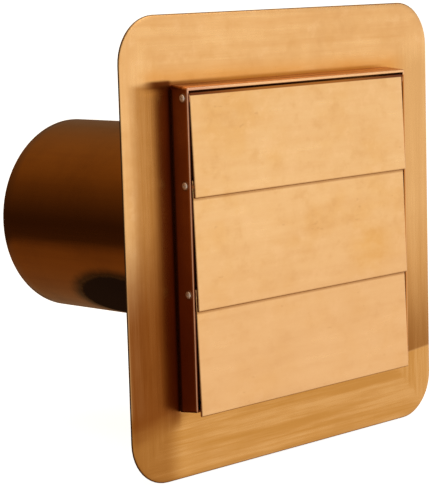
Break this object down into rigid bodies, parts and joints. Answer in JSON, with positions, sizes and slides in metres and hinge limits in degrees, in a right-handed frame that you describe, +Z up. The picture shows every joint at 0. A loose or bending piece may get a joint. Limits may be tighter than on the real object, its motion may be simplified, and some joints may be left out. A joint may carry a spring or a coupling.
{
  "type": "louvred wall exhaust vent",
  "caption": "Copper wall vent: a square flange with rounded corners, a shallow hood with overlapping drop louvres hung on rivets, and a round tailpipe that slides into a duct.",
  "frame": {"origin": "on the tailpipe's axis, in the plane of the wall that the flange's turned-back edge rests on", "axes": "+Y into the wall along the tailpipe, +Z up, +X to the right seen from inside the building, so the louvres face -Y"},
  "size_m": [0.216, 0.17, 0.216],
  "materials": {
    "flange_copper": "brushed",
    "louver_copper": "satin",
    "hood_copper": "satin",
    "tailpipe_copper": "satin",
    "rivet_copper": "polished",
    "washer_copper": "satin",
    "mandrel_steel": "satin"
  },
  "bodies": {
    "casing": {"wall_flange": "flange_copper", "tailpipe": "tailpipe_copper", "hood_shell": "hood_copper", "hood_sill": "hood_copper", "pivot_rivet_upper_left": "rivet_copper", "pivot_rivet_upper_right": "rivet_copper", "pivot_rivet_middle_left": "rivet_copper", "pivot_rivet_middle_right": "rivet_copper", "pivot_rivet_lower_left": "rivet_copper", "pivot_rivet_lower_right": "rivet_copper", "spacer_washer_upper_left": "washer_copper", "spacer_washer_upper_right": "washer_copper", "spacer_washer_middle_left": "washer_copper", "spacer_washer_middle_right": "washer_copper", "spacer_washer_lower_left": "washer_copper", "spacer_washer_lower_right": "washer_copper", "rivet_mandrel_upper_left": "mandrel_steel", "rivet_mandrel_upper_right": "mandrel_steel", "rivet_mandrel_middle_left": "mandrel_steel", "rivet_mandrel_middle_right": "mandrel_steel", "rivet_mandrel_lower_left": "mandrel_steel", "rivet_mandrel_lower_right": "mandrel_steel"},
    "louver_upper": {"louver_upper": "louver_copper"},
    "louver_middle": {"louver_middle": "louver_copper"},
    "louver_lower": {"louver_lower": "louver_copper"}
  },
  "joints": [
    {"name": "upper_louver_pivot", "type": "hinge", "parent": "casing", "child": "louver_upper", "pos_m": [0, -0.0092, 0.0702], "axis": [-1, 0, 0], "range_deg": [0, 75]},
    {"name": "middle_louver_pivot", "type": "hinge", "parent": "casing", "child": "louver_middle", "pos_m": [0, -0.0092, 0.0303], "axis": [-1, 0, 0], "range_deg": [0, 75]},
    {"name": "lower_louver_pivot", "type": "hinge", "parent": "casing", "child": "louver_lower", "pos_m": [0, -0.0092, -0.02], "axis": [-1, 0, 0], "range_deg": [0, 75]}
  ],
  "couplings": [
    {"joint": "upper_louver_pivot", "follows": "middle_louver_pivot", "ratio": 1},
    {"joint": "lower_louver_pivot", "follows": "middle_louver_pivot", "ratio": 1}
  ]
}
